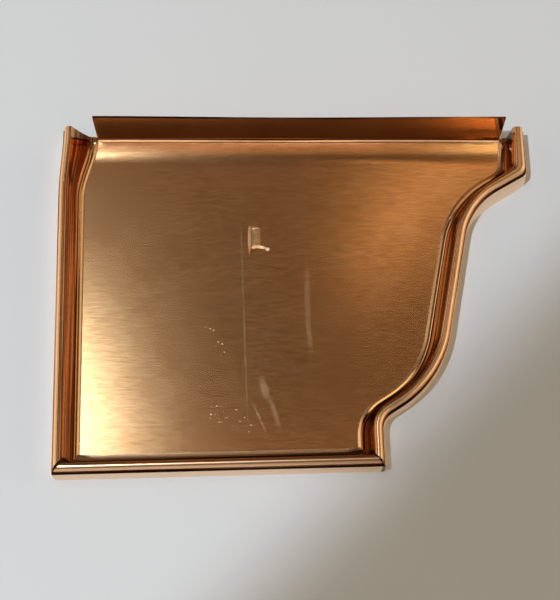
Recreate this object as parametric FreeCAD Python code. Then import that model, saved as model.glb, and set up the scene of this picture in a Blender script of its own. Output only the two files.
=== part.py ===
import FreeCAD, Part
import math
import os

# Left-hand end cap for an ogee-front roof gutter, lying on its inner side with the outside face up.
# It is one stamped sheet of copper: a flat panel, a raised rim on the back, the floor and the ogee
# front, whose hollow underside slides over the gutter's end, and a flange turned up along the top.
# Millimetres: X runs from the back of the gutter to its front, Y from its floor to its top edge and
# Z out of the outside face. The outer back corner of the floor is the drawing's zero point.

sheet = 0.7

# Outer size of the cap.
back_height = 117.9
top_width = 155.2
floor_width = 103.4
top_slope = 1.6  # degrees that the top edge falls from the back towards the front

# Rim section, from the crease where it leaves the panel out to the skirt.
rim_width = 7.6
rim_height = 9.7
crease_radius = 1.0
ramp_run = 2.1
ramp_rise = 0.45
foot_radius = 1.3
bead_width = 3.2
bead_radius = 1.7

# Ogee front, as lines along the crease with rounded corners between them.
lip_foot = 102.1
brow_run = 21.5
brow_angle = 29.4
face_run = 60.8
face_angle = 78.1
belly_angle = 31.8
lip_radius = 1.5
brow_radius = 32.0
belly_radius = 29.0
heel_radius = 14.0

# Top flange.
flange_height = 16.9
flange_radius = 1.2

# Back rim's free end, where the wall is pulled inwards and the skirt leans in. A narrow land of flat
# panel is left between the pulled crease and the flange.
flare_length = 22.0
flare_crease = 4.6
flare_land = 0.3
flare_skirt = 1.2
flare_sections = 5

# Open slits at the two mitred corners of the floor: where they start on the rim, and how wide they are.
slit_start = 1.9
back_slit_inner = 1.2
back_slit_outer = 0.5
front_slit_inner = 0.6
front_slit_outer = 4.6

# Room that cutting tools and half spaces have beyond the sheet, and the shortest run that counts as one.
clear = 5.0
no_length = 1e-6

UP = FreeCAD.Vector(0, 0, 1)


def point(x, y, z=0.0):
    return FreeCAD.Vector(x, y, z)


def heading(angle):
    """Unit vector in plan at an angle in degrees from +X."""
    return point(math.cos(math.radians(angle)), math.sin(math.radians(angle)))


def rounded_path(corners, radii):
    """Lines through plan points, with a tangent arc of the given radius at each inner corner.

    Returns a list of (start, end, centre, turn): centre is None on a line, and turn is the arc's
    signed angle in radians, positive to the left.
    """
    pieces = []
    start = corners[0]
    for before, corner, after, radius in zip(corners, corners[1:], corners[2:], radii):
        into = (corner - before).normalize()
        out = (after - corner).normalize()
        turn = math.atan2(into.x * out.y - into.y * out.x, into.dot(out))
        tangent = radius * math.tan(abs(turn) / 2)
        arc_start = corner - into * tangent
        arc_end = corner + out * tangent
        left = point(-into.y, into.x)
        centre = arc_start + left * math.copysign(radius, turn)
        pieces.append((start, arc_start, None, 0.0))
        pieces.append((arc_start, arc_end, centre, turn))
        start = arc_end
    pieces.append((start, corners[-1], None, 0.0))
    return [piece for piece in pieces if (piece[1] - piece[0]).Length > no_length]


def path_edges(pieces):
    """Edges of a rounded path."""
    edges = []
    for start, end, centre, turn in pieces:
        if centre is None:
            edges.append(Part.LineSegment(start, end).toShape())
            continue
        half = FreeCAD.Rotation(UP, math.degrees(turn) / 2)
        middle = centre + half.multVec(start - centre)
        edges.append(Part.Arc(start, middle, end).toShape())
    return edges


def folded_sheet(corners, radii):
    """Closed wire of a bent sheet in plan: the seen face, and the hidden face to the right of it.

    A corner that turns left has its radius on the seen face and radius + sheet behind it, and one
    that turns right the other way round.
    """
    hidden = []
    hidden_radii = []
    count = len(corners)
    for i, corner in enumerate(corners):
        into = (corner - corners[i - 1]).normalize() if i > 0 else None
        out = (corners[i + 1] - corner).normalize() if i < count - 1 else None
        into = into or out
        out = out or into
        right_in = point(into.y, -into.x)
        right_out = point(out.y, -out.x)
        hidden.append(corner + (right_in + right_out) * (sheet / (1 + right_in.dot(right_out))))
        if 0 < i < count - 1:
            side = math.copysign(1, into.x * out.y - into.y * out.x)
            hidden_radii.append(radii[i - 1] + side * sheet)
    edges = path_edges(rounded_path(corners, radii))
    edges.append(Part.LineSegment(corners[-1], hidden[-1]).toShape())
    edges += path_edges(rounded_path(hidden[::-1], hidden_radii[::-1]))
    edges.append(Part.LineSegment(hidden[0], corners[0]).toShape())
    return Part.Wire(edges)


def stand(wire, base, outward):
    """Turns a section drawn in plan upright at a base point, its first axis along outward."""
    angle = math.degrees(math.atan2(outward.y, outward.x))
    upright = FreeCAD.Rotation(UP, angle).multiply(FreeCAD.Rotation(point(1, 0), 90))
    placed = wire.copy()
    placed.Placement = FreeCAD.Placement(base, upright)
    return placed


def rim_section(strip=0.0, crease_in=0.0, skirt_in=0.0):
    """Section of the rim, outwards from the crease, with a strip of panel before it.

    crease_in moves the crease towards the panel and skirt_in the bead and skirt.
    """
    bend = math.atan2(ramp_rise, ramp_run)
    crease = crease_radius * math.tan(bend / 2) - crease_in
    face = sheet
    crest = sheet + rim_height
    skirt = rim_width - skirt_in
    corners = [
        point(-strip, face),
        point(crease, face),
        point(crease + ramp_run, face + ramp_rise),
        point(skirt - bead_width, crest),
        point(skirt, crest),
        point(skirt, 0),
    ]
    return folded_sheet(corners, [crease_radius, foot_radius, bead_radius, bead_radius])


def run_rim(pieces):
    """Rim solids along a crease path, with the outside of the cap to the left of it."""
    solids = []
    for start, end, centre, turn in pieces:
        if centre is None:
            along = end - start
            outward = point(-along.y, along.x).normalize()
            face = Part.Face(stand(rim_section(), start, outward))
            solids.append(face.extrude(along))
            continue
        outward = (centre - start).normalize() * math.copysign(1, turn)
        face = Part.Face(stand(rim_section(), start, outward))
        solids.append(face.revolve(centre, UP, math.degrees(turn)))
    return solids


def plan_prism(corners, low, high):
    """Upright prism over a polygon in plan."""
    base = [point(corner.x, corner.y, low) for corner in corners]
    return Part.Face(Part.makePolygon(base + base[:1])).extrude(UP * (high - low))


# The top edge is a straight line that falls to the front; level() is its height at x.
edge_along = heading(-top_slope)
edge_out = heading(90 - top_slope)


def level(x, inset=0.0):
    """Y of the line that runs inset millimetres inside the top edge."""
    return back_height - x * math.tan(math.radians(top_slope)) - inset / math.cos(math.radians(top_slope))


# Crease line: down the ogee front, along the floor and up the back.
front_x = top_width - rim_width
heel_x = floor_width - rim_width
lip_corner = point(front_x, lip_foot)
brow_corner = lip_corner + heading(180 + brow_angle) * brow_run
belly_corner = brow_corner + heading(180 + face_angle) * face_run
heel_drop = (belly_corner.x - heel_x) * math.tan(math.radians(belly_angle))
heel_corner = point(heel_x, belly_corner.y - heel_drop)
ogee_radii = [lip_radius, brow_radius, belly_radius, heel_radius]
over_top = back_height + clear
bends = [lip_corner, brow_corner, belly_corner, heel_corner]


def ogee_path(top, bottom):
    """Crease line of the ogee front between two heights."""
    return rounded_path([point(front_x, top)] + bends + [point(heel_x, bottom)], ogee_radii)


# Rim on three sides, mitred where the floor meets the back and the front.
flare_start = back_height - flare_length
floor_zone = plan_prism(
    [point(0, 0), point(floor_width, 0), point(heel_x, rim_width), point(rim_width, rim_width)],
    -clear,
    rim_height + clear,
)
front_rim = run_rim(ogee_path(over_top, 0))
front_rim[-1] = front_rim[-1].cut(floor_zone)
floor_run = [(point(floor_width, rim_width), point(0, rim_width), None, 0.0)]
floor_rim = run_rim(floor_run)[0].common(floor_zone)
back_run = [(point(rim_width, 0), point(rim_width, flare_start), None, 0.0)]
back_rim = run_rim(back_run)[0].cut(floor_zone)

# Flared end of the back rim, eased from the plain section to the pulled one.
flare_strip = flare_crease + flare_land
flare_wires = []
for step in range(flare_sections):
    share = step / (flare_sections - 1)
    ease = share * share * (3 - 2 * share)
    section = rim_section(flare_strip, flare_crease * ease, flare_skirt * ease)
    flare_wires.append(stand(section, point(rim_width, flare_start + flare_length * share), point(-1, 0)))
flare = Part.makeLoft(flare_wires, True, False)

# Flat panel between the creases, up to where the flange's bend starts.
flange_x = rim_width + flare_strip
bend_depth = flange_radius + sheet
panel_path = ogee_path(level(front_x, bend_depth), rim_width)
panel_rest = [
    point(heel_x, rim_width),
    point(rim_width, rim_width),
    point(rim_width, flare_start),
    point(flange_x, flare_start),
    point(flange_x, level(flange_x, bend_depth)),
    point(front_x, level(front_x, bend_depth)),
]
panel_edges = path_edges(panel_path)
for start, end in zip(panel_rest, panel_rest[1:]):
    panel_edges.append(Part.LineSegment(start, end).toShape())
panel = Part.Face(Part.Wire(panel_edges)).extrude(UP * sheet)

# Flange turned up along the top edge, between the creases, its back face in line with the rim's ends.
flange_corners = [
    point(-bend_depth, sheet),
    point(-sheet, sheet),
    point(-sheet, sheet + flange_height),
]
flange_wire = folded_sheet(flange_corners, [flange_radius])
flange_from = point(0, level(0)) - edge_along * clear
flange_bar = Part.Face(stand(flange_wire, flange_from, edge_out)).extrude(edge_along * (top_width + 2 * clear))
flange_zone = plan_prism(
    [point(flange_x, 0), point(front_x, 0), point(front_x, over_top), point(flange_x, over_top)],
    -clear,
    flange_height + clear,
)
flange = flange_bar.common(flange_zone)


def corner_slit(crease_corner, outward, inner, outer):
    """Tapered cutter along a mitre, from the wall's foot to beyond the outer corner."""
    across = point(-outward.y, outward.x)
    near = crease_corner + outward * (slit_start * math.sqrt(2))
    far = crease_corner + outward * (rim_width * math.sqrt(2) + clear)
    sides = [near - across * (inner / 2), far - across * (outer / 2)]
    sides += [far + across * (outer / 2), near + across * (inner / 2)]
    return plan_prism(sides, -clear, rim_height + clear)


# One sheet: the rim's ends are cut along the top edge, and the corners are slit open.
above_top = plan_prism(
    [
        point(-clear, level(-clear)),
        point(top_width + clear, level(top_width + clear)),
        point(top_width + clear, over_top + clear),
        point(-clear, over_top + clear),
    ],
    -clear,
    rim_height + clear,
)
front_rim[0] = front_rim[0].cut(above_top)
flare = flare.cut(above_top)
cap = panel.multiFuse([floor_rim, back_rim, flare, flange] + front_rim).removeSplitter()
back_slit = corner_slit(point(rim_width, rim_width), heading(225), back_slit_inner, back_slit_outer)
front_slit = corner_slit(point(heel_x, rim_width), heading(315), front_slit_inner, front_slit_outer)
cap = cap.cut(back_slit).cut(front_slit)

# The zero point of the finished part is under the middle of its box.
box = cap.optimalBoundingBox(False, False)
end_cap = cap.Solids[0]
end_cap.translate(point(-box.Center.x, -box.Center.y, -box.ZMin))

os.makedirs("parts", exist_ok=True)
end_cap.exportStep("parts/end_cap.step")
print("solids", len(cap.Solids), "valid", end_cap.isValid(), "volume", round(end_cap.Volume, 1))
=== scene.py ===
import math

import bpy
import numpy as np
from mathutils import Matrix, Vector


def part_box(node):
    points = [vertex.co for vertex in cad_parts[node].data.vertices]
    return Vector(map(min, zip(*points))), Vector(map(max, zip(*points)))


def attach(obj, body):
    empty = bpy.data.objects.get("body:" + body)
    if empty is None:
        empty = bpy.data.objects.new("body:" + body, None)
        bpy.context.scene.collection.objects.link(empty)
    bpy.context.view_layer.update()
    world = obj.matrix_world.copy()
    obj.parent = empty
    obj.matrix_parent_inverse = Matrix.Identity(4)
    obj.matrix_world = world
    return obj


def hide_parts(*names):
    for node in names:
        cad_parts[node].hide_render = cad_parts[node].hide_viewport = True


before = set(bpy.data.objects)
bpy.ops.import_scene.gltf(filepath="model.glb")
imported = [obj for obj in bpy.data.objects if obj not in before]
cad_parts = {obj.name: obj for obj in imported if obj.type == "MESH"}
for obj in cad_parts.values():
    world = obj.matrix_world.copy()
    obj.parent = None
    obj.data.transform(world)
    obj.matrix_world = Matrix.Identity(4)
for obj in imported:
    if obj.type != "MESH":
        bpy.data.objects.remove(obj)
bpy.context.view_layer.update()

# Copper end cap: one stamped sheet, brushed on its flat panel and left smooth where the die drew the
# rim and folded the flange. Its surfaces are worked out in millimetres from the outer back corner of
# the floor, with X towards the ogee front, Y towards the top edge and Z out of the outside face.
mm = 0.001
low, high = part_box("end_cap")
sheet = 0.7
top_width = (high.x - low.x) / mm
floor_width = 103.4
back_height = 117.9
top_fall = math.tan(math.radians(1.6))


def level(x):
    """Y of the straight top edge at x: it falls evenly towards the front."""
    return back_height - x * top_fall


def ease(value, start=0.0, end=1.0):
    """Smooth step from 0 at the start to 1 at the end, level at both: 3 s^2 - 2 s^3 of the share s."""
    share = np.clip((value - start) / (end - start), 0.0, 1.0)
    return share * share * (3.0 - 2.0 * share)


def unit(vectors):
    """Vectors divided by their lengths."""
    return vectors / np.linalg.norm(vectors, axis=-1, keepdims=True)


def slope(angle):
    """Direction that rises at an angle: its cosine and its sine."""
    return np.array([math.cos(angle), math.sin(angle)])


def path_run(points):
    """Length along a line of points up to each of them: the running sum of its steps."""
    return np.concatenate([[0.0], np.cumsum(np.linalg.norm(np.diff(points, axis=0), axis=1))])


def beside(corners, distance):
    """Polyline to the left of another at a distance: each corner moves along the sum of the normals
    of its two runs, divided by one plus their dot product."""
    along = unit(np.diff(corners, axis=0))
    left = np.stack([-along[:, 1], along[:, 0]], axis=1)
    before = np.vstack([left[:1], left])
    after = np.vstack([left, left[-1:]])
    return corners + distance * (before + after) / (1.0 + (before * after).sum(axis=1))[:, None]


def rounded(corners, radii, place):
    """Points on a polyline whose inner corners are tangent arcs. The whole part of place counts runs
    and arcs in turn, and its fraction is the share of that run or arc."""
    along = unit(np.diff(corners, axis=0))
    into, out = along[:-1], along[1:]
    turn = np.arctan2(into[:, 0] * out[:, 1] - into[:, 1] * out[:, 0], (into * out).sum(axis=1))
    setback = (radii * np.tan(np.abs(turn) / 2))[:, None]
    arc_start = corners[1:-1] - into * setback
    arc_end = corners[1:-1] + out * setback
    left = np.stack([-into[:, 1], into[:, 0]], axis=1)
    centre = arc_start + left * (radii * np.sign(turn))[:, None]
    run_start = np.vstack([corners[:1], arc_end])
    run_end = np.vstack([arc_start, corners[-1:]])
    piece = np.clip(np.floor(place).astype(int), 0, 2 * len(radii))
    share = (place - piece)[..., None]
    run = (piece + 1) // 2
    arc = np.minimum(piece // 2, len(radii) - 1)
    on_run = run_start[run] * (1 - share) + run_end[run] * share
    angle = turn[arc] * share[..., 0]
    spoke = arc_start[arc] - centre[arc]
    on_arc = centre[arc] + np.stack(
        [
            spoke[..., 0] * np.cos(angle) - spoke[..., 1] * np.sin(angle),
            spoke[..., 0] * np.sin(angle) + spoke[..., 1] * np.cos(angle),
        ],
        axis=-1,
    )
    return np.where((piece % 2 == 0)[..., None], on_run, on_arc)


def places(first, counts):
    """Stations through runs and arcs in turn: so many even steps on each, then the last end."""
    steps = [first + i + np.arange(n) / n for i, n in enumerate(counts)]
    return np.concatenate(steps + [[first + len(counts)]])


# Crease line in plan: down the ogee front from the top edge, along the floor and up the back. The
# outer line runs beside it; at the lip the drawn corner is tight and the crease leans outwards.
rim_width = 7.6
crease_inset = 0.25
lip_height, lip_crease_radius, lip_outer_radius = 102.1, 4.0, 2.7
brow_corner, brow_radius = (128.87, 91.55), 32.0
belly_corner, belly_radius = (116.33, 32.05), 29.0
heel_height, heel_radius = 19.32, 14.0
lip_lean = np.array([(0.5, 0.0), (-1.0, -0.5)])
die_corners = np.array(
    [
        (top_width - rim_width, level(top_width - rim_width)),
        (top_width - rim_width, lip_height),
        brow_corner,
        belly_corner,
        (floor_width - rim_width, heel_height),
        (floor_width - rim_width, rim_width),
        (rim_width, rim_width),
        (rim_width, level(rim_width)),
    ]
)
crease_corners = die_corners.copy()
crease_corners[:2] += lip_lean
crease_corners = beside(crease_corners, -crease_inset)
outer_corners = beside(die_corners, rim_width)
outer_corners[0] = (top_width, level(top_width))
outer_corners[-1] = (0.0, level(0.0))
ogee_radii = np.array([brow_radius, belly_radius, heel_radius])
ogee_senses = np.array([1.0, -1.0, 1.0])
mitre_radii = [0.0, 0.0]
crease_radii = np.concatenate([[lip_crease_radius], ogee_radii + crease_inset * ogee_senses, mitre_radii])
outer_radii = np.concatenate([[lip_outer_radius], ogee_radii - rim_width * ogee_senses, mitre_radii])

# Stations: the front's go up from the floor, and the back's take the same rows, so that the panel's
# rows run straight across. Rows are added for the roll below the flange, in millimetres from the fold,
# and for the mark's foot, in steps of the straight face. The last few are where the flange folds up.
flange_radius = 1.2
fold_depth = flange_radius + sheet
fold_steps = 4
fold_left = np.linspace(1.0, 0.0, fold_steps + 1)[1:]
front_counts = [6, 18, 5, 24, 34, 58, 8, 14, 13]
straight_face = 4
roll_rows = np.array([7.5, 6.6, 5.7, 4.8, 3.9, 3.1, 0.25])
foot_rows = np.array([0.25, 0.5, 0.75, 1.25, 1.5, 1.75, 2.25])
top_ends = rounded(crease_corners, crease_radii, np.array([0.0, 1.0]))
top_run = np.linalg.norm(top_ends[1] - top_ends[0])
fold_share = fold_depth / top_run
front_place = len(front_counts) - places(0.0, front_counts)
front_place = np.where(front_place < 1.0, fold_share + front_place * (1.0 - fold_share), front_place)
front_place = np.concatenate(
    [
        front_place,
        fold_share + roll_rows / top_run,
        straight_face + foot_rows / front_counts[straight_face],
        fold_share * fold_left,
    ]
)
front_place = -np.sort(-front_place)
row_count = len(front_place) - fold_steps
front_crease = rounded(crease_corners, crease_radii, front_place)
front_outer = rounded(outer_corners, outer_radii, front_place)
front_y = front_crease[:, 1]

rows = front_y[:row_count]
row_share = (rows - rows[0]) / (rows[-1] - rows[0])
back_top = level(rim_width) - fold_depth
back_y = np.concatenate(
    [rows[0] + row_share * (back_top - rows[0]), back_top + fold_depth * (1.0 - fold_left)]
)
flare_length, flare_crease, flare_skirt = 22.0, 4.6, 1.2
flare = ease(back_y, back_height - flare_length, back_height)
back_crease = np.stack([rim_width + crease_inset + flare_crease * flare, back_y], axis=1)
back_share = (back_y - back_y[0]) / (back_y[-1] - back_y[0])
back_outer = np.stack([flare_skirt * flare, back_share * level(0.0)], axis=1)

# Columns across the panel and along the floor: close together at the mark, and narrow at both ends.
mark_low, mark_high, mark_density = 0.44, 0.535, 4.5
column_count = 106
end_column = 0.002
even = np.linspace(0.0, 1.0, 2001)
density = np.where((even > mark_low) & (even < mark_high), mark_density, 1.0)
reach = np.concatenate([[0.0], np.cumsum(density[1:])])
columns = np.interp(np.linspace(0.0, reach[-1], column_count - 2), reach, even)
columns = np.concatenate([[0.0, end_column], columns[1:-1], [1.0 - end_column, 1.0]])
crease_front, crease_back = crease_corners[5:7]
outer_front, outer_back = outer_corners[5:7]
floor_crease = crease_back + columns[:, None] * (crease_front - crease_back)
floor_outer = outer_back + columns[:, None] * (outer_front - outer_back)

# Rim section, from the crease to the skirt's edge: a fine step, a low ramp, a steep wall, a rounded
# bead, a ledge and a skirt down to the table.
rim_height = 9.7
section_width = rim_width + crease_inset
crease_bend = 0.5
step_run, step_radius, step_angle = 0.8, 0.4, math.radians(32.0)
ramp_low, ramp_radius, ramp_start = 0.55, 4.0, math.radians(8.0)
ramp_high, ramp_end = 1.3, math.radians(17.0)
foot_radius = 1.3
wall_hollow, hollow_start, hollow_end = 0.25, 7.5, 9.5
bead_width, bead_radius = 3.2, 1.4
ledge_width, ledge_top, ledge_drop, ledge_radius = 0.7, 7.1, 0.3, 0.2
section_counts = [3, 1, 3, 1, 3, 1, 5, 8, 6, 2, 7, 1, 3, 2, 3, 3]
section_place = places(1.0, section_counts)


def section(
    width=section_width,
    bead=bead_width,
    hollow=wall_hollow,
    crease_radius=crease_bend,
    step_rise=step_angle,
    low_rise=ramp_start,
    low_run=ramp_low,
    low_radius=ramp_radius,
):
    """Rim section as distance out from the crease and height: ten corners with tangent arcs, and the
    wall hollowed by a squared half sine wave."""
    start = np.array([crease_radius * math.tan(step_rise / 2), sheet])
    step = start + step_run * slope(step_rise)
    middle = step + low_run * slope(low_rise)
    foot = middle + ramp_high * slope(ramp_end)
    crest = sheet + rim_height
    corners = np.array(
        [
            (0.0, sheet),
            start,
            step,
            middle,
            foot,
            (width - bead, crest),
            (width - ledge_width, crest),
            (width - ledge_width, ledge_top),
            (width, ledge_top - ledge_drop),
            (width, 0.0),
        ]
    )
    bends = [crease_radius, step_radius, low_radius, foot_radius]
    rolls = [bead_radius, bead_radius, ledge_radius, ledge_radius]
    points = rounded(corners, np.array(bends + rolls), section_place)
    wall = unit(corners[5] - corners[4])
    inwards = np.array([wall[1], -wall[0]])
    share = np.clip((section_place - hollow_start) / (hollow_end - hollow_start), 0.0, 1.0)
    return points + hollow * (np.sin(np.pi * share) ** 2)[:, None] * inwards


plain_section = section()
flared_section = section(width=section_width + flare_crease - flare_skirt, hollow=0.35)
lip_section = section(bead=bead_width + 0.9, hollow=0.1)
floor_section = section(crease_radius=6.0, step_rise=math.radians(11.0), low_rise=math.radians(13.0))
ridge_section = section(low_rise=math.radians(-9.0), low_run=0.85, low_radius=0.5)
section_run = path_run(plain_section)

# Root roll: the sheet tips up along the flange, so the panel's top strip and the crease ends rise. On
# the rim the roll fades out over a share of its width.
roll_run, roll_blend, roll_slope = 5.1, 5.0, math.tan(math.radians(10.5))
roll_fade = 0.45


def root_roll(x, y):
    """Rise towards the flange's root: none, then a parabola over the blend, then an even slope."""
    below = np.maximum(level(x) - fold_depth - y, 0.0)
    past = np.clip(roll_run + roll_blend / 2 - below, 0.0, None)
    return roll_slope * np.where(past < roll_blend, past**2 / (2 * roll_blend), past - roll_blend / 2)


def mix(base, other_section, weight):
    """Sections along a line: a base with a share of another one in it, set by a weight for each row."""
    return base + weight[:, None, None] * (other_section - base)


def rim_surface(crease, outer, mixed):
    """Rim along a crease line: each point of a row's section lies at its share of the way from the
    crease to the outer line, at its height and the roll's."""
    share = mixed[:, :, 0] / mixed[:, -1:, 0]
    plan = crease[:, None, :] + (outer - crease)[:, None, :] * share[:, :, None]
    roll = root_roll(crease[:, 0], crease[:, 1])[:, None] * (1.0 - ease(share, 0.0, roll_fade))
    return np.dstack([plan, mixed[:, :, 1] + roll])


# Rim strips: a fine ridge follows the crease where the ogee faces down, at the brow and the belly, and
# is gone at the floor; the bead is wider round the lip, and the floor's crease is soft between corners.
corner_blend = 0.0625
front_normal = unit(front_outer - front_crease)
ridge = ease(-front_normal[:, 1], 0.3, 0.7) * ease(front_y, 12.0, 20.0)
lip = ease(front_y, 98.0, 104.0)
soft_crease = ease(columns * (1.0 - columns), 0.0, corner_blend)
front_sections = mix(mix(plain_section, ridge_section, ridge), lip_section, lip)
front_rim = rim_surface(front_crease, front_outer, front_sections)
floor_rim = rim_surface(floor_crease, floor_outer, mix(plain_section, floor_section, soft_crease))
back_rim = rim_surface(back_crease, back_outer, mix(plain_section, flared_section, flare))

# Slits at the two floor corners: each strip's end draws back from the mitre, from the wall's foot on.
slit_knots = np.array([0.0, 3.0, 4.0, 8.6, 13.6, 17.1, section_run[-1]])
slit_reach = 5.0


def draw_back(surface, axis, mitre, amounts, sense):
    """Moves a strip's end along an axis, away from the mitre line, by an amount that follows the
    section and fades out evenly over the slit's reach."""
    gap = np.interp(section_run, slit_knots, amounts)
    distance = np.abs(surface[:, :, axis] - mitre[None, :, axis])
    surface[:, :, axis] += sense * gap[None, :] * np.clip(1.0 - distance / slit_reach, 0.0, 1.0)


back_mitre = floor_rim[0].copy()
front_mitre = floor_rim[-1].copy()
draw_back(floor_rim, 0, back_mitre, [0.0, 0.0, 0.3, 0.6, 0.45, 0.2, 0.15], 1.0)
draw_back(back_rim, 1, back_mitre, [0.0, 0.0, 0.7, 1.2, 0.8, 0.4, 0.3], 1.0)
draw_back(floor_rim, 0, front_mitre, [0.0, 0.0, 0.2, 0.35, 0.6, 0.9, 1.0], -1.0)
draw_back(front_rim, 1, front_mitre, [0.0, 0.0, 0.1, 0.2, 0.3, 0.2, 0.1], 1.0)

# Skirt: it leans outwards below the lip and the brow, most of all at its lower edge.
skirt_lean, skirt_middle, skirt_spread, skirt_end = 1.3, 97.0, 9.0, 113.0
skirt_start = 16.0
skirt_drop = np.clip(section_place - skirt_start, 0.0, 1.0)
lip_skirt = skirt_lean * np.exp(-(((front_y - skirt_middle) / skirt_spread) ** 2)) * (front_y < skirt_end)
lean = lip_skirt[:, None] * skirt_drop[None, :]
front_rim[:, :, :2] += lean[:, :, None] * front_normal[:, None, :]
front_rim[:, :, 0] = np.minimum(front_rim[:, :, 0], top_width)

# Flat panel between the creases, with the pressed L of a left-hand cap: an upright and a deeper foot
# that narrows towards its end.
panel_left = back_crease[:row_count]
panel_right = front_crease[:row_count]
panel_plan = panel_left[:, None, :] + (panel_right - panel_left)[:, None, :] * columns[None, :, None]
panel_x, panel_y = panel_plan[:, :, 0], panel_plan[:, :, 1]
mark_left, mark_right, mark_end = 62.6, 66.4, 69.2
mark_base, mark_foot, mark_top = 75.2, 77.1, 83.9
mark_depth, foot_depth = 0.24, 0.4
wall_run, foot_taper = 0.45, 0.25


def pressed(end, top):
    """Share of a stroke's depth on the panel: smooth steps at its left side, base and top, and an even
    rise up to its end."""
    left = ease(panel_x - mark_left, 0.0, wall_run)
    base = ease(panel_y - mark_base, 0.0, wall_run)
    rise = np.clip((end - panel_x) / (end - mark_left - wall_run), 0.0, 1.0)
    return left * rise * base * ease(top - panel_y, 0.0, wall_run)


foot_top = mark_foot - foot_taper * np.maximum(panel_x - mark_right, 0.0)
press = np.maximum(mark_depth * pressed(mark_right, mark_top), foot_depth * pressed(mark_end, foot_top))
panel_roll = root_roll(panel_x, panel_y)
panel = np.dstack([panel_plan, sheet - press + panel_roll])

# Flange: folded up along the panel's top row over a small shoulder, and slightly bowed inwards along
# its free edge.
flange_height = (high.z - low.z) / mm - sheet
shoulder_run, shoulder_slope = 0.1, math.tan(math.radians(18.5))
shoulder_radius, root_radius = 1.0, 0.35
flange_bow, bow_power = 0.45, 1.5
spread_height = 2.0
shoulder = shoulder_run * np.array([1.0, roll_slope])
flange_corners = np.array(
    [
        (0.0, 0.0),
        shoulder,
        (flange_radius, shoulder[1] + (flange_radius - shoulder[0]) * shoulder_slope),
        (flange_radius, flange_height),
    ]
)
flange_place = places(0.0, [1, 4, 1, 5, 8])
flange_section = rounded(flange_corners, np.array([shoulder_radius, root_radius]), flange_place)
flange_run = path_run(flange_section)
flange_out, flange_up = flange_section[:, :1], flange_section[:, 1:]
flange_rise = flange_up / flange_height
bow = flange_bow * np.sin(np.pi * columns) ** 2
edge_out = unit(np.array([top_fall, 1.0]))
flange_plan = panel[-1:, :, :2] + (flange_out - bow * flange_rise**bow_power)[..., None] * edge_out
flange_plan[:, :, 0] += crease_inset * (2.0 * columns - 1.0) * ease(flange_up, 0.0, spread_height)
flange = np.dstack([flange_plan, sheet + flange_up + panel_roll[-1:] * (1.0 - flange_rise)])


def grid_faces(surface, flip):
    """Quads of a grid of points, as indices into its flattened points: each point with its three
    neighbours on."""
    index = np.arange(surface.shape[0] * surface.shape[1]).reshape(surface.shape[:2])
    around = [index[:-1, :-1], index[:-1, 1:], index[1:, 1:], index[1:, :-1]]
    quads = np.stack(around, axis=-1).reshape(-1, 4)
    return quads[:, ::-1] if flip else quads


def across_rim(knots, amounts):
    """Amounts of painted shade and painted sheen across the rim, even between knots that are stations of
    its section.
    """
    return np.interp(section_place, knots, amounts)[None, :]


# Painted shade and sheen across the rim: the wall's foot and the crevice under the bead are painted dark
# brown as shade, and the floor more so towards the front; the crease, the bead and the skirt are painted
# pale as highlights, on the skirt as the table's reflection, and are made rougher.
shade_knots = [1.0, 3.0, 5.0, 6.2, 7.0, 8.0, 8.7, 9.4, 10.3, 12.2, 12.8, 14.8, 15.6, 17.0]
front_shade = [0.0, 0.0, 0.3, 0.3, 1.1, 1.0, 0.5, 0.6, 0.0, 0.0, 1.0, 1.0, 0.1, 0.0]
back_shade = [0.0, 0.0, 0.3, 0.2, 1.4, 1.1, 0.9, 0.9, 0.0, 0.0, 1.0, 1.0, 0.1, 0.0]
wall_top, ridge_foot = 10.0, 5.6
floor_share_back, floor_share_front = 0.5, 1.6
faint_painted_sheen = 0.2
# Painted shade: dark brown in the rim's creases and recesses, where shade falls.
rim_painted_shade = across_rim(shade_knots, front_shade)
floor_painted_shade = across_rim([1.0, 5.5, 7.0, 9.0, wall_top], [0.0, 0.55, 1.2, 0.9, 0.0])
floor_share = floor_share_back + (floor_share_front - floor_share_back) * columns
floor_painted_shade = floor_painted_shade * floor_share[:, None]
floor_painted_shade = np.maximum(rim_painted_shade * (section_place > wall_top), floor_painted_shade)
lip_painted_shade = across_rim([3.5, 4.5, 9.0, wall_top], [0.0, 1.2, 1.2, 0.0])
lip_painted_shade = lip_painted_shade * ease(front_y, 94.0, 101.0)[:, None]
heel_painted_shade = across_rim([3.2, 3.8, 6.5, 7.0], [0.0, 1.8, 1.8, 0.0])
heel_painted_shade = heel_painted_shade * (1.0 - ease(front_y, 18.0, 30.0))[:, None]
front_painted_shade = np.maximum(np.maximum(rim_painted_shade, lip_painted_shade), heel_painted_shade)
front_painted_shade = front_painted_shade * (1.0 - ridge[:, None] * (section_place < ridge_foot))
end_painted_shade = across_rim([6.5, 7.5, 9.0, wall_top], [0.0, 0.8, 0.8, 0.0])
end_painted_shade = end_painted_shade * ease(back_y, 109.0, 112.0)[:, None]
back_painted_shade = np.maximum(across_rim(shade_knots, back_shade), end_painted_shade)
# Painted shade in the bend at the flange's root.
flange_painted_shade = np.interp(flange_place, [2.9, 3.2, 3.8, 4.05], [0.0, 1.2, 1.2, 0.0])[:, None]
# Painted sheen: pale highlights on the crease, the step and the bead, and a pale painted reflection of the
# table on the skirt; the same places are rougher.
rim_painted_sheen = across_rim(
    [1.0, 1.3, 3.0, 4.0, 9.4, 10.2, 11.6, 12.2, 15.0, 16.0, 17.0],
    [0.0, 0.5, 0.5, 0.0, 0.0, 0.6, 0.6, 0.0, 0.0, 2.0, 2.0],
)
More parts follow.
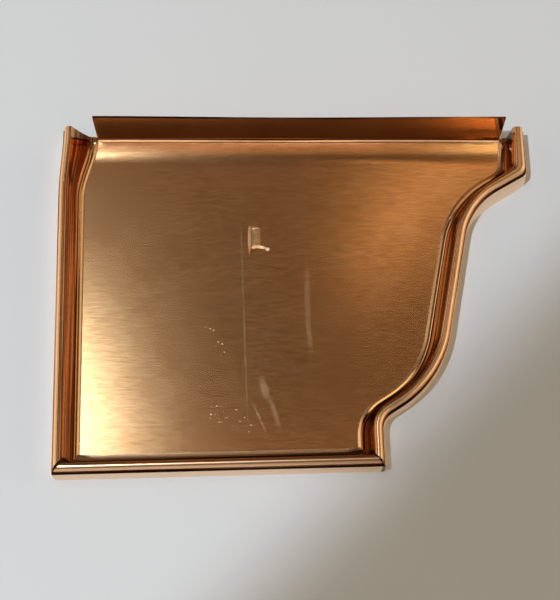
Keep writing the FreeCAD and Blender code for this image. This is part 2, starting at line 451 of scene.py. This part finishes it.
# A faint painted sheen all across the floor's rim.
floor_painted_sheen = np.maximum(rim_painted_sheen, faint_painted_sheen)
ridge_painted_sheen = across_rim([3.0, 3.8, 5.2, 5.8], [0.0, 0.3, 0.3, 0.0])
front_painted_sheen = np.maximum(rim_painted_sheen, ridge_painted_sheen * ridge[:, None])
bare = np.zeros((1, 1))
# Painted shade on the sheet's thin edges, dark all over.
edge_painted_shade = 1.4

# Strips of the seen face, each with the turn of its quads, its grain along and across, whether the die
# formed it, its painted shade and its painted sheen.
rim_across = section_run[None, :]
strips = [
    (panel, False, panel_x, panel_y, 0.0, bare, bare),
    (front_rim, False, path_run(front_crease)[:, None], rim_across, 1.0, front_painted_shade, front_painted_sheen),
    (floor_rim, False, path_run(floor_crease)[:, None], rim_across, 1.0, floor_painted_shade, floor_painted_sheen),
    (back_rim, True, path_run(back_crease)[:, None], rim_across, 1.0, back_painted_shade, rim_painted_sheen),
    (flange, False, panel[-1:, :, 0], flange_run[:, None], 1.0, flange_painted_shade, bare),
]
points, quads, grain, formed, painted_shade, painted_sheen = [], [], [], [], [], []
point_count = 0
for surface, flip, along, across, form, brown, pale in strips:
    shape = surface.shape[:2]
    strip_quads = grid_faces(surface, flip)
    points.append(surface.reshape(-1, 3))
    quads.append(strip_quads + point_count)
    grain.append(np.stack(np.broadcast_arrays(along, across), axis=-1).reshape(-1, 2)[strip_quads])
    formed.append(np.full(strip_quads.shape, form))
    painted_shade.append(np.broadcast_to(brown, shape).reshape(-1)[strip_quads])
    painted_sheen.append(np.broadcast_to(pale, shape).reshape(-1)[strip_quads])
    point_count += shape[0] * shape[1]
points, quads, grain = np.concatenate(points), np.concatenate(quads), np.concatenate(grain)
formed, painted_shade, painted_sheen = np.concatenate(formed), np.concatenate(painted_shade), np.concatenate(painted_sheen)

# The strips are welded where they meet, the hidden face lies one sheet behind the seen one, and walls
# as wide as the sheet is thick close the free edges.
weld = 1e-4
sharp_angle = math.radians(45.0)
cells = np.round(points / weld).astype(np.int64)
_, first, same = np.unique(cells, axis=0, return_index=True, return_inverse=True)
seen = points[first]
quads = same.reshape(-1)[quads]
corner = seen[quads]
facing = np.cross(corner[:, 2] - corner[:, 0], corner[:, 3] - corner[:, 1])
normal = np.zeros_like(seen)
np.add.at(normal, quads.reshape(-1), np.repeat(facing, 4, axis=0))
hidden = seen - sheet * unit(normal)
hidden[:, 2] = np.maximum(hidden[:, 2], 0.0)
offset = len(seen)
edges = np.stack([quads, np.roll(quads, -1, axis=1)], axis=-1).reshape(-1, 2)
edge_grain = np.stack([grain, np.roll(grain, -1, axis=1)], axis=2).reshape(-1, 2, 2)
_, where, count = np.unique(np.sort(edges, axis=1), axis=0, return_inverse=True, return_counts=True)
free = count[where.reshape(-1)] == 1
tail, head = edges[free].T
walls = np.stack([head, tail, tail + offset, head + offset], axis=1)
faces = np.concatenate([quads, quads[:, ::-1] + offset, walls])
face_grain = np.concatenate([grain, grain[:, ::-1], edge_grain[free][:, [1, 0, 0, 1]]])
face_formed = np.concatenate([formed, formed[:, ::-1], np.ones(walls.shape)])
# The hidden face carries no painted shade, and the edge walls are painted dark all over as shade.
face_painted_shade = np.concatenate([painted_shade, 0.0 * painted_shade, np.full(walls.shape, edge_painted_shade)])
# The hidden face and the edge walls carry no painted sheen.
face_painted_sheen = np.concatenate([painted_sheen, 0.0 * painted_sheen, np.zeros(walls.shape)])
vertices = np.clip(np.array(low) + mm * np.concatenate([seen, hidden]), np.array(low), np.array(high))

mesh = bpy.data.meshes.new("copper_end_cap")
mesh.vertices.add(len(vertices))
mesh.vertices.foreach_set("co", vertices.astype(np.float32).ravel())
mesh.loops.add(faces.size)
mesh.loops.foreach_set("vertex_index", faces.astype(np.int32).ravel())
mesh.polygons.add(len(faces))
mesh.polygons.foreach_set("loop_start", np.arange(0, faces.size, 4, dtype=np.int32))
mesh.update(calc_edges=True)
mesh.polygons.foreach_set("use_smooth", np.ones(len(faces), dtype=bool))
grain_map = mesh.uv_layers.new(name="grain")
grain_map.data.foreach_set("uv", (face_grain * mm).astype(np.float32).ravel())
for name, amounts in (("formed", face_formed), ("painted_shade", face_painted_shade), ("painted_sheen", face_painted_sheen)):
    layer = mesh.attributes.new(name, "FLOAT", "CORNER")
    layer.data.foreach_set("value", amounts.astype(np.float32).ravel())
mesh.set_sharp_from_angle(angle=sharp_angle)
mesh.validate()
end_cap = bpy.data.objects.new("copper_end_cap", mesh)
bpy.context.scene.collection.objects.link(end_cap)

# Brushed copper: the brushing runs along the panel, and the formed parts are smoother, with faint lines
# from the die.
copper = bpy.data.materials.new("brushed_copper")
copper.use_nodes = True
nodes, links = copper.node_tree.nodes, copper.node_tree.links
shader = nodes["Principled BSDF"]
shader.inputs["Metallic"].default_value = 1.0
shader.inputs["Anisotropic"].default_value = 0.3
shader.inputs["Anisotropic Rotation"].default_value = 0.25
brush_line = nodes.new("ShaderNodeTangent")
brush_line.direction_type = "UV_MAP"
brush_line.uv_map = "grain"
links.new(brush_line.outputs["Tangent"], shader.inputs["Tangent"])
grain_place = nodes.new("ShaderNodeUVMap")
grain_place.uv_map = "grain"
on_grain = grain_place.outputs["UV"]
on_cap = nodes.new("ShaderNodeTexCoord").outputs["Object"]


def painted(name):
    """Amount that the mesh carries under a name, as a socket."""
    node = nodes.new("ShaderNodeAttribute")
    node.attribute_name = name
    return node.outputs["Fac"]


def feed(socket, value):
    """Puts a number, a colour or another socket into a socket."""
    if isinstance(value, bpy.types.NodeSocket):
        socket.id_data.links.new(value, socket)
    else:
        socket.default_value = value


def noise(source, scale, detail):
    """Noise stretched by a scale on each axis, as a socket between 0 and 1."""
    stretch = nodes.new("ShaderNodeMapping")
    stretch.inputs["Scale"].default_value = scale
    links.new(source, stretch.inputs["Vector"])
    texture = nodes.new("ShaderNodeTexNoise")
    texture.inputs["Scale"].default_value = 1.0
    texture.inputs["Detail"].default_value = detail
    links.new(stretch.outputs["Vector"], texture.inputs["Vector"])
    return texture.outputs["Fac"]


def ranged(value, low_in, high_in, low_out, high_out, kind="LINEAR"):
    """Value moved from one range to another and held inside it, evenly or by a smooth step."""
    node = value.id_data.nodes.new("ShaderNodeMapRange")
    node.interpolation_type = kind
    node.inputs["From Min"].default_value = low_in
    node.inputs["From Max"].default_value = high_in
    node.inputs["To Min"].default_value = low_out
    node.inputs["To Max"].default_value = high_out
    feed(node.inputs["Value"], value)
    return node.outputs["Result"]


def reckon(operation, first_value, second_value):
    """Sum, product or the like of a socket and another socket or a number."""
    node = first_value.id_data.nodes.new("ShaderNodeMath")
    node.operation = operation
    feed(node.inputs[0], first_value)
    feed(node.inputs[1], second_value)
    return node.outputs["Value"]


def joined(operation, sockets):
    """One operation carried through a row of sockets, such as their sum or the largest of them."""
    total = sockets[0]
    for socket in sockets[1:]:
        total = reckon(operation, total, socket)
    return total


def blended(tree, base, top, share, kind="MIX"):
    """Colour that goes from a base to a top by a share: mixed, or the base multiplied or added to."""
    node = tree.nodes.new("ShaderNodeMix")
    node.data_type = "RGBA"
    node.blend_type = kind
    feed(node.inputs["Factor"], share)
    feed(node.inputs["A"], base)
    feed(node.inputs["B"], top)
    return node.outputs["Result"]


spot_depth = 4.0


def spot(x, y, half_length, half_width, turn):
    """Soft ellipse on the panel, 1 in its middle and 0 at its edge: its centre is in the drawing's
    millimetres, its long side turned from X."""
    put = nodes.new("ShaderNodeMapping")
    put.vector_type = "TEXTURE"
    put.inputs["Location"].default_value = (low.x + x * mm, low.y + y * mm, sheet * mm)
    put.inputs["Rotation"].default_value = (0.0, 0.0, math.radians(turn))
    put.inputs["Scale"].default_value = (half_length * mm, half_width * mm, spot_depth * mm)
    links.new(on_cap, put.inputs["Vector"])
    ball = nodes.new("ShaderNodeTexGradient")
    ball.gradient_type = "SPHERICAL"
    links.new(put.outputs["Vector"], ball.inputs["Vector"])
    return ball.outputs["Fac"]


formed_share, painted_shade_share, painted_sheen_share = painted("formed"), painted("painted_shade"), painted("painted_sheen")
brush = noise(on_cap, (260.0, 1900.0, 1900.0), 1.5)
cloud = noise(on_cap, (60.0, 60.0, 1.0), 2.0)
draw = noise(on_grain, (14.0, 700.0, 1.0), 1.0)

# Marks of handling on the panel: smears, one long broken scratch and grit; and painted highlights,
# pale and rougher, along the left side of the mark's upright and at the end of its foot.
smear_places = (
    (81.2, 58.0, 15.0, 1.3, 89.0, 0.4),
    (81.3, 46.0, 9.0, 1.1, 95.0, 0.4),
    (66.4, 28.0, 5.5, 1.7, 105.0, 0.5),
    (69.5, 20.0, 7.5, 1.1, 107.0, 0.4),
    (64.6, 18.5, 7.0, 0.6, 112.0, 0.4),
    (111.2, 92.0, 2.8, 0.35, -38.0, 0.9),
)
grit_places = ((53.0, 20.0, 9.0, 3.5, 165.0), (59.5, 16.5, 4.0, 4.0, 0.0), (51.5, 44.0, 9.0, 2.5, 115.0))
mark_highlight_places = ((62.7, 79.4, 5.6, 0.6, 90.0), (68.6, 75.8, 0.8, 0.7, 0.0))
smears = joined("MAXIMUM", [ranged(spot(*at), 0.0, 0.6, 0.0, weight) for *at, weight in smear_places])
line = ranged(spot(60.4, 52.0, 46.0, 0.35, 90.8), 0.0, 0.3, 0.0, 0.4)
dots = ranged(noise(on_cap, (300.0, 300.0, 1.0), 1.0), 0.35, 0.7, 0.4, 1.0)
grit = ranged(noise(on_cap, (1500.0, 1500.0, 1.0), 0.0), 0.74, 0.80, 0.0, 0.42)
gritty = joined("MAXIMUM", [spot(*at) for at in grit_places])
# Painted highlights along the left side of the mark's upright and at the end of its foot.
mark_highlights = [ranged(spot(*at), 0.0, 0.5, 0.0, 0.75) for at in mark_highlight_places]
grit_and_highlights = joined("MAXIMUM", [reckon("MULTIPLY", grit, ranged(gritty, 0.0, 0.3, 0.0, 1.0))] + mark_highlights)
marks_and_highlights = joined("MAXIMUM", [smears, grit_and_highlights, reckon("MULTIPLY", line, dots)])
wear_and_highlights = reckon("MULTIPLY", marks_and_highlights, ranged(brush, 0.3, 0.7, 0.6, 1.0))

panel_roughness, formed_roughness = 0.173, 0.09
worn_dulling, painted_sheen_dulling, speck_dulling = 0.12, 0.34, 0.4
roughness = joined(
    "ADD",
    [
        ranged(formed_share, 0.0, 1.0, panel_roughness, formed_roughness),
        reckon("MULTIPLY", wear_and_highlights, worn_dulling),
        reckon("MULTIPLY", reckon("MINIMUM", painted_sheen_share, 1.0), painted_sheen_dulling),
        reckon("MULTIPLY", grit_and_highlights, speck_dulling),
    ],
)
links.new(roughness, shader.inputs["Roughness"])

dark_copper, light_copper = (0.81, 0.395, 0.172, 1.0), (0.99, 0.527, 0.249, 1.0)
# Copper in two tones for the grain; a pale colour for the panel's marks and for painted sheen, and a dark
# brown for painted shade.
pale_mark_and_sheen_colour, painted_shade_colour = (1.0, 0.76, 0.54, 1.0), (0.09, 0.022, 0.004, 1.0)
grainy = reckon("ADD", reckon("MULTIPLY", brush, 0.65), reckon("MULTIPLY", cloud, 0.35))
marks_and_painted_sheen = reckon("MAXIMUM", wear_and_highlights, reckon("MULTIPLY", painted_sheen_share, 0.5))
streaks = ranged(noise(on_grain, (12.0, 600.0, 1.0), 2.0), 0.40, 0.60, 0.5, 1.3)
tone = blended(copper.node_tree, dark_copper, light_copper, ranged(grainy, 0.35, 0.65, 0.0, 1.0))
# Painted sheen: the pale colour laid on the rim's highlights and the skirt's reflection, and on the panel's
# marks and painted highlights.
tone = blended(copper.node_tree, tone, pale_mark_and_sheen_colour, marks_and_painted_sheen)
# Painted shade: the dark brown laid into the creases, recesses and edges, in streaks along the die's lines.
tone = blended(copper.node_tree, tone, painted_shade_colour, reckon("MULTIPLY", painted_shade_share, streaks))
links.new(tone, shader.inputs["Base Color"])

brush_depth, draw_depth = 0.0004 * mm, 0.04 * mm
relief = nodes.new("ShaderNodeMix")
relief.data_type = "FLOAT"
links.new(formed_share, relief.inputs["Factor"])
links.new(reckon("MULTIPLY", brush, brush_depth), relief.inputs["A"])
links.new(reckon("MULTIPLY", draw, draw_depth), relief.inputs["B"])
bump = nodes.new("ShaderNodeBump")
bump.inputs["Distance"].default_value = 1.0
links.new(relief.outputs["Result"], bump.inputs["Height"])
links.new(bump.outputs["Normal"], shader.inputs["Normal"])
mesh.materials.append(copper)

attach(end_cap, "root")
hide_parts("end_cap")

# Table: a plain, smooth and matt sheet in a pale grey, which the cap lies on. It is not attached to
# the cap.
table_reach = 6.0
table_corners = table_reach * np.array([(-1, -1, 0), (1, -1, 0), (1, 1, 0), (-1, 1, 0)], dtype=float)
table_mesh = bpy.data.meshes.new("table")
table_mesh.from_pydata(table_corners.tolist(), [], [(0, 1, 2, 3)])
table = bpy.data.objects.new("table", table_mesh)
bpy.context.scene.collection.objects.link(table)
paper = bpy.data.materials.new("pale_table")
paper.use_nodes = True
paper_shader = paper.node_tree.nodes["Principled BSDF"]
paper_shader.inputs["Base Color"].default_value = (0.78, 0.78, 0.79, 1.0)
paper_shader.inputs["Roughness"].default_value = 0.6
table_mesh.materials.append(paper)

# Studio: a warm dome, pale round its rim and dark overhead, on the side where the camera is held and
# low on the far wall, with a window on either side. A cool key light from the left, whose edge crosses
# the table, and soft panels that the copper mirrors stand in it.
world = bpy.data.worlds.new("studio")
bpy.context.scene.world = world
world.use_nodes = True
sky = world.node_tree
direction = sky.nodes.new("ShaderNodeSeparateXYZ")
sky.links.new(sky.nodes.new("ShaderNodeTexCoord").outputs["Generated"], direction.inputs["Vector"])
frontwards, topwards, upwards = direction.outputs
dome = sky.nodes.new("ShaderNodeValToRGB")
stops = dome.color_ramp.elements
stops[0].position, stops[0].color = 0.0, (1.0, 0.66, 0.33, 1.0)
stops[1].position, stops[1].color = 0.97, (0.058, 0.042, 0.029, 1.0)
for height, colour in (
    (0.30, (0.52, 0.35, 0.19, 1.0)),
    (0.45, (0.20, 0.145, 0.09, 1.0)),
    (0.72, (0.15, 0.12, 0.09, 1.0)),
    (0.90, (0.148, 0.115, 0.082, 1.0)),
):
    stops.new(height).color = colour
sky.links.new(upwards, dome.inputs["Fac"])
smooth = "SMOOTHSTEP"
camera_side = reckon(
    "MULTIPLY",
    ranged(topwards, -0.45, -0.20, 1.0, 0.0, smooth),
    ranged(upwards, -0.20, 0.05, 0.0, 1.0, smooth),
)
far_wall = reckon(
    "MULTIPLY",
    ranged(topwards, 0.15, 0.50, 0.0, 1.0, smooth),
    ranged(upwards, 0.55, 0.80, 0.7, 0.0, smooth),
)
shade = reckon("SUBTRACT", ranged(camera_side, 0.0, 1.0, 1.0, 0.25), far_wall)
shaded = blended(sky, dome.outputs["Color"], reckon("MAXIMUM", shade, 0.0), 1.0, "MULTIPLY")
window_colour = (0.90, 0.78, 0.56, 1.0)
windows = ranged(reckon("ABSOLUTE", frontwards, 0.0), 0.62, 0.78, 0.0, 1.0, smooth)
lit = blended(sky, shaded, window_colour, windows, "ADD")
sky.links.new(lit, sky.nodes["Background"].inputs["Color"])


def soft_panel(name, place, width, length, turn, radiance, colour):
    """Level rectangular light facing down, turned about the upright axis. Its power is its radiance
    times its area times pi."""
    data = bpy.data.lights.new(name, "AREA")
    data.shape = "RECTANGLE"
    data.size, data.size_y = width, length
    data.energy = radiance * math.pi * width * length
    data.color = colour
    light = bpy.data.objects.new(name, data)
    light.location = place
    light.rotation_euler = (0.0, 0.0, math.radians(turn))
    bpy.context.scene.collection.objects.link(light)
    return light


def aim(light, target):
    """Turns a light from its place towards a target."""
    light.rotation_euler = (Vector(target) - light.location).to_track_quat("-Z", "Y").to_euler()


rig_height = 1.2
key = bpy.data.lights.new("key_left", "SPOT")
key.energy = 35.0
key.color = (0.78, 0.88, 1.0)
key.shadow_soft_size = 0.018
key.spot_size = math.radians(120.4)
key.spot_blend = 0.03
key_light = bpy.data.objects.new("key_left", key)
key_light.location = (-0.37, -0.17, rig_height)
bpy.context.scene.collection.objects.link(key_light)
aim(key_light, key_light.location + Vector((-0.441, 0.653, -0.616)))
cool, white, warm = (0.68, 0.88, 1.0), (0.84, 0.92, 1.0), (1.0, 0.80, 0.52)
for name, x, y, width, length, turn, radiance, colour in (
    ("glow_left", -0.306, 0.30, 0.20, 0.21, 18.2, 6.4, cool),
    ("wash_left", -0.52, 0.80, 0.20, 0.80, 0.0, 1.35, white),
    ("glow_right", 0.272, 0.685, 0.03, 0.55, -39.0, 1.9, (1.0, 0.73, 0.43)),
    ("wash_right", 0.395, 0.45, 0.21, 0.5, 0.0, 0.5, (1.0, 0.76, 0.42)),
    ("glow_low_right", 0.305, 0.08, 0.18, 0.24, 0.0, 1.7, (1.0, 0.96, 0.62)),
    ("glow_behind", 0.285, -0.82, 0.04, 0.7, 5.0, 3.4, warm),
    ("over_root", 0.01, -0.215, 0.52, 0.10, 0.0, 1.5, white),
    ("over_facet", 0.01, 0.145, 0.52, 0.14, 0.0, 0.33, (1.0, 0.62, 0.33)),
):
    soft_panel(name, (x, y, rig_height), width, length, turn, radiance, colour)
aim(soft_panel("card_front_left", (-0.45, -1.4, 0.2), 1.1, 0.4, 0.0, 0.9, white), (-0.2, 0.0, 0.1))

# Camera: held over the floor side of the cap, tipped 20 degrees from straight down and turned a little
# about the upright axis.
camera_data = bpy.data.cameras.new("camera")
camera_data.sensor_width = 24.0
camera_data.lens = 60.0
camera = bpy.data.objects.new("camera", camera_data)
camera.location = (-0.00988, -0.16819, 0.46)
camera.rotation_euler = (math.radians(20.0), 0.0, math.radians(-1.54))
bpy.context.scene.collection.objects.link(camera)
bpy.context.scene.camera = camera
bpy.context.scene.view_settings.view_transform = "Standard"
